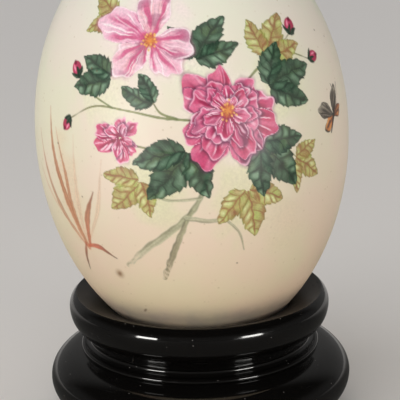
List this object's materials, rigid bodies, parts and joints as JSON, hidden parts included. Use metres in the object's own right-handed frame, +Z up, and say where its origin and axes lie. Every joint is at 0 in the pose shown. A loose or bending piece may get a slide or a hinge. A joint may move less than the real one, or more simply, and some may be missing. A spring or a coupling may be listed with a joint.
{
  "type": "ostrich egg",
  "caption": "Painted ostrich egg resting upright in a dished seat of a black-lacquered turned wooden stand.",
  "frame": {"origin": "middle of the stand's foot, on the surface it stands on", "axes": "+Z up along the stand's turning axis, the painted front faces -Y, +X to the viewer's right"},
  "size_m": [0.1235, 0.1222, 0.1991],
  "materials": {
    "egg_shell": "smooth cream eggshell with a satin sheen, hand painted in watercolour tints and varnished",
    "black_lacquer": "turned hardwood under glossy black lacquer"
  },
  "bodies": {
    "root": {"ostrich_egg": "egg_shell", "stand": "black_lacquer"}
  },
  "joints": []
}
